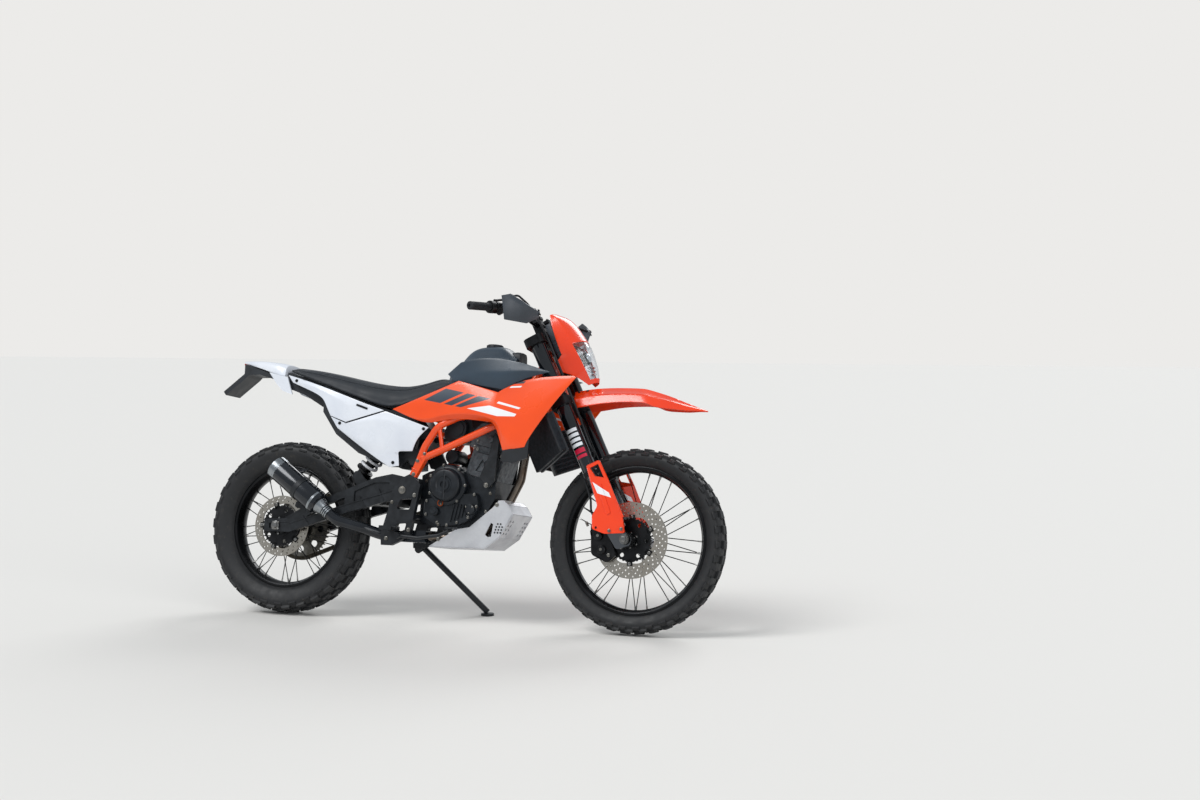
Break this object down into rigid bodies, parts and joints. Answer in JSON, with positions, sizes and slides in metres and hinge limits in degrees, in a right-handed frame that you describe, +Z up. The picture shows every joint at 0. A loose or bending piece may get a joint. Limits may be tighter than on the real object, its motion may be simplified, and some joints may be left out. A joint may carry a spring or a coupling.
{
  "type": "dual sport motorcycle",
  "caption": "Parked dual sport motorcycle leaning on its side stand, with spoked wheels, long-travel fork, slim seat, handlebar, radiator shrouds, skid plate and side silencer.",
  "frame": {"origin": "on the ground under the middle of the machine's box, parked and leaning on its side stand", "axes": "+X forward, +Y to the rider's left, +Z up; the machine leans 9 degrees towards +Y"},
  "size_m": [2.1682, 0.819, 1.2733],
  "materials": {
    "tyre_rubber": "matte",
    "black_rim": "satin",
    "black_metal": "satin",
    "disc_steel": "brushed",
    "plain_steel": "satin",
    "chain_steel": "oiled",
    "orange_paint": "gloss",
    "orange_plastic": "gloss",
    "engine_black": "satin",
    "raw_aluminium": "satin",
    "dark_plastic": "matte",
    "blue_grey_plastic": "gloss",
    "exhaust_steel": "satin",
    "black_sleeve": "satin",
    "white_paint": "gloss",
    "white_plastic": "gloss",
    "seat_cover": "grained",
    "red_lens": "clear",
    "fork_black": "gloss",
    "grip_rubber": "matte",
    "guard_grey": "matte",
    "clear_lens": "clear",
    "hose_rubber": "matte"
  },
  "bodies": {
    "chassis": {"rear_axle": "plain_steel", "swingarm": "black_metal", "frame": "orange_paint", "pivot_castings": "black_metal", "engine_case": "engine_black", "engine_covers": "engine_black", "cylinder_head": "raw_aluminium", "throttle_body": "dark_plastic", "radiators": "dark_plastic", "exhaust_box": "exhaust_steel", "exhaust_header": "exhaust_steel", "silencer": "black_sleeve", "silencer_ends": "plain_steel", "skid_plate": "raw_aluminium", "shock": "plain_steel", "shock_spring": "white_paint", "fuel_tank": "dark_plastic", "filler_cap": "dark_plastic", "tank_wings": "blue_grey_plastic", "shrouds": "orange_plastic", "shroud_scoops": "dark_plastic", "seat": "seat_cover", "tail_strips": "white_plastic", "side_panels": "white_plastic", "tail": "white_plastic", "airbox": "dark_plastic", "plate_holder": "dark_plastic", "tail_light": "red_lens", "footpegs": "plain_steel", "brake_pedal": "plain_steel", "gear_lever": "plain_steel", "chain": "chain_steel", "sprocket_cover": "dark_plastic", "rear_caliper": "engine_black"},
    "steering": {"front_axle": "plain_steel", "yokes": "black_metal", "fork_tubes": "fork_black", "fork_lowers": "raw_aluminium", "fork_guards": "orange_plastic", "front_caliper": "engine_black", "handlebar": "black_metal", "grips": "grip_rubber", "controls": "dark_plastic", "hand_guards": "guard_grey", "brake_hose": "hose_rubber", "headlight_mask": "orange_plastic", "headlight": "clear_lens", "instruments": "dark_plastic", "front_fender": "orange_plastic"},
    "front_wheel": {"front_tyre": "tyre_rubber", "front_rim": "black_rim", "front_hub": "black_metal", "front_disc": "disc_steel"},
    "rear_wheel": {"rear_tyre": "tyre_rubber", "rear_rim": "black_rim", "rear_hub": "black_metal", "rear_disc": "disc_steel", "rear_sprocket": "plain_steel"},
    "stand": {"side_stand": "black_metal"}
  },
  "joints": [
    {"name": "steer", "type": "hinge", "parent": "chassis", "child": "steering", "pos_m": [0.29784, -0.0169, 1.06057], "axis": [-0.4555, 0.1393, 0.8793], "range_deg": [-40, 40]},
    {"name": "front_spin", "type": "hinge", "parent": "steering", "child": "front_wheel", "pos_m": [0.7374, -0.13001, 0.34643], "axis": [0, 0.9877, -0.1564], "continuous": true},
    {"name": "rear_spin", "type": "hinge", "parent": "chassis", "child": "rear_wheel", "pos_m": [-0.7426, -0.13079, 0.34149], "axis": [0, 0.9877, -0.1564], "continuous": true},
    {"name": "side_stand_swing", "type": "hinge", "parent": "chassis", "child": "stand", "pos_m": [-0.2376, 0.0293, 0.26552], "axis": [0.1062, 0.9695, 0.2207], "range_deg": [0, 136.5]}
  ]
}
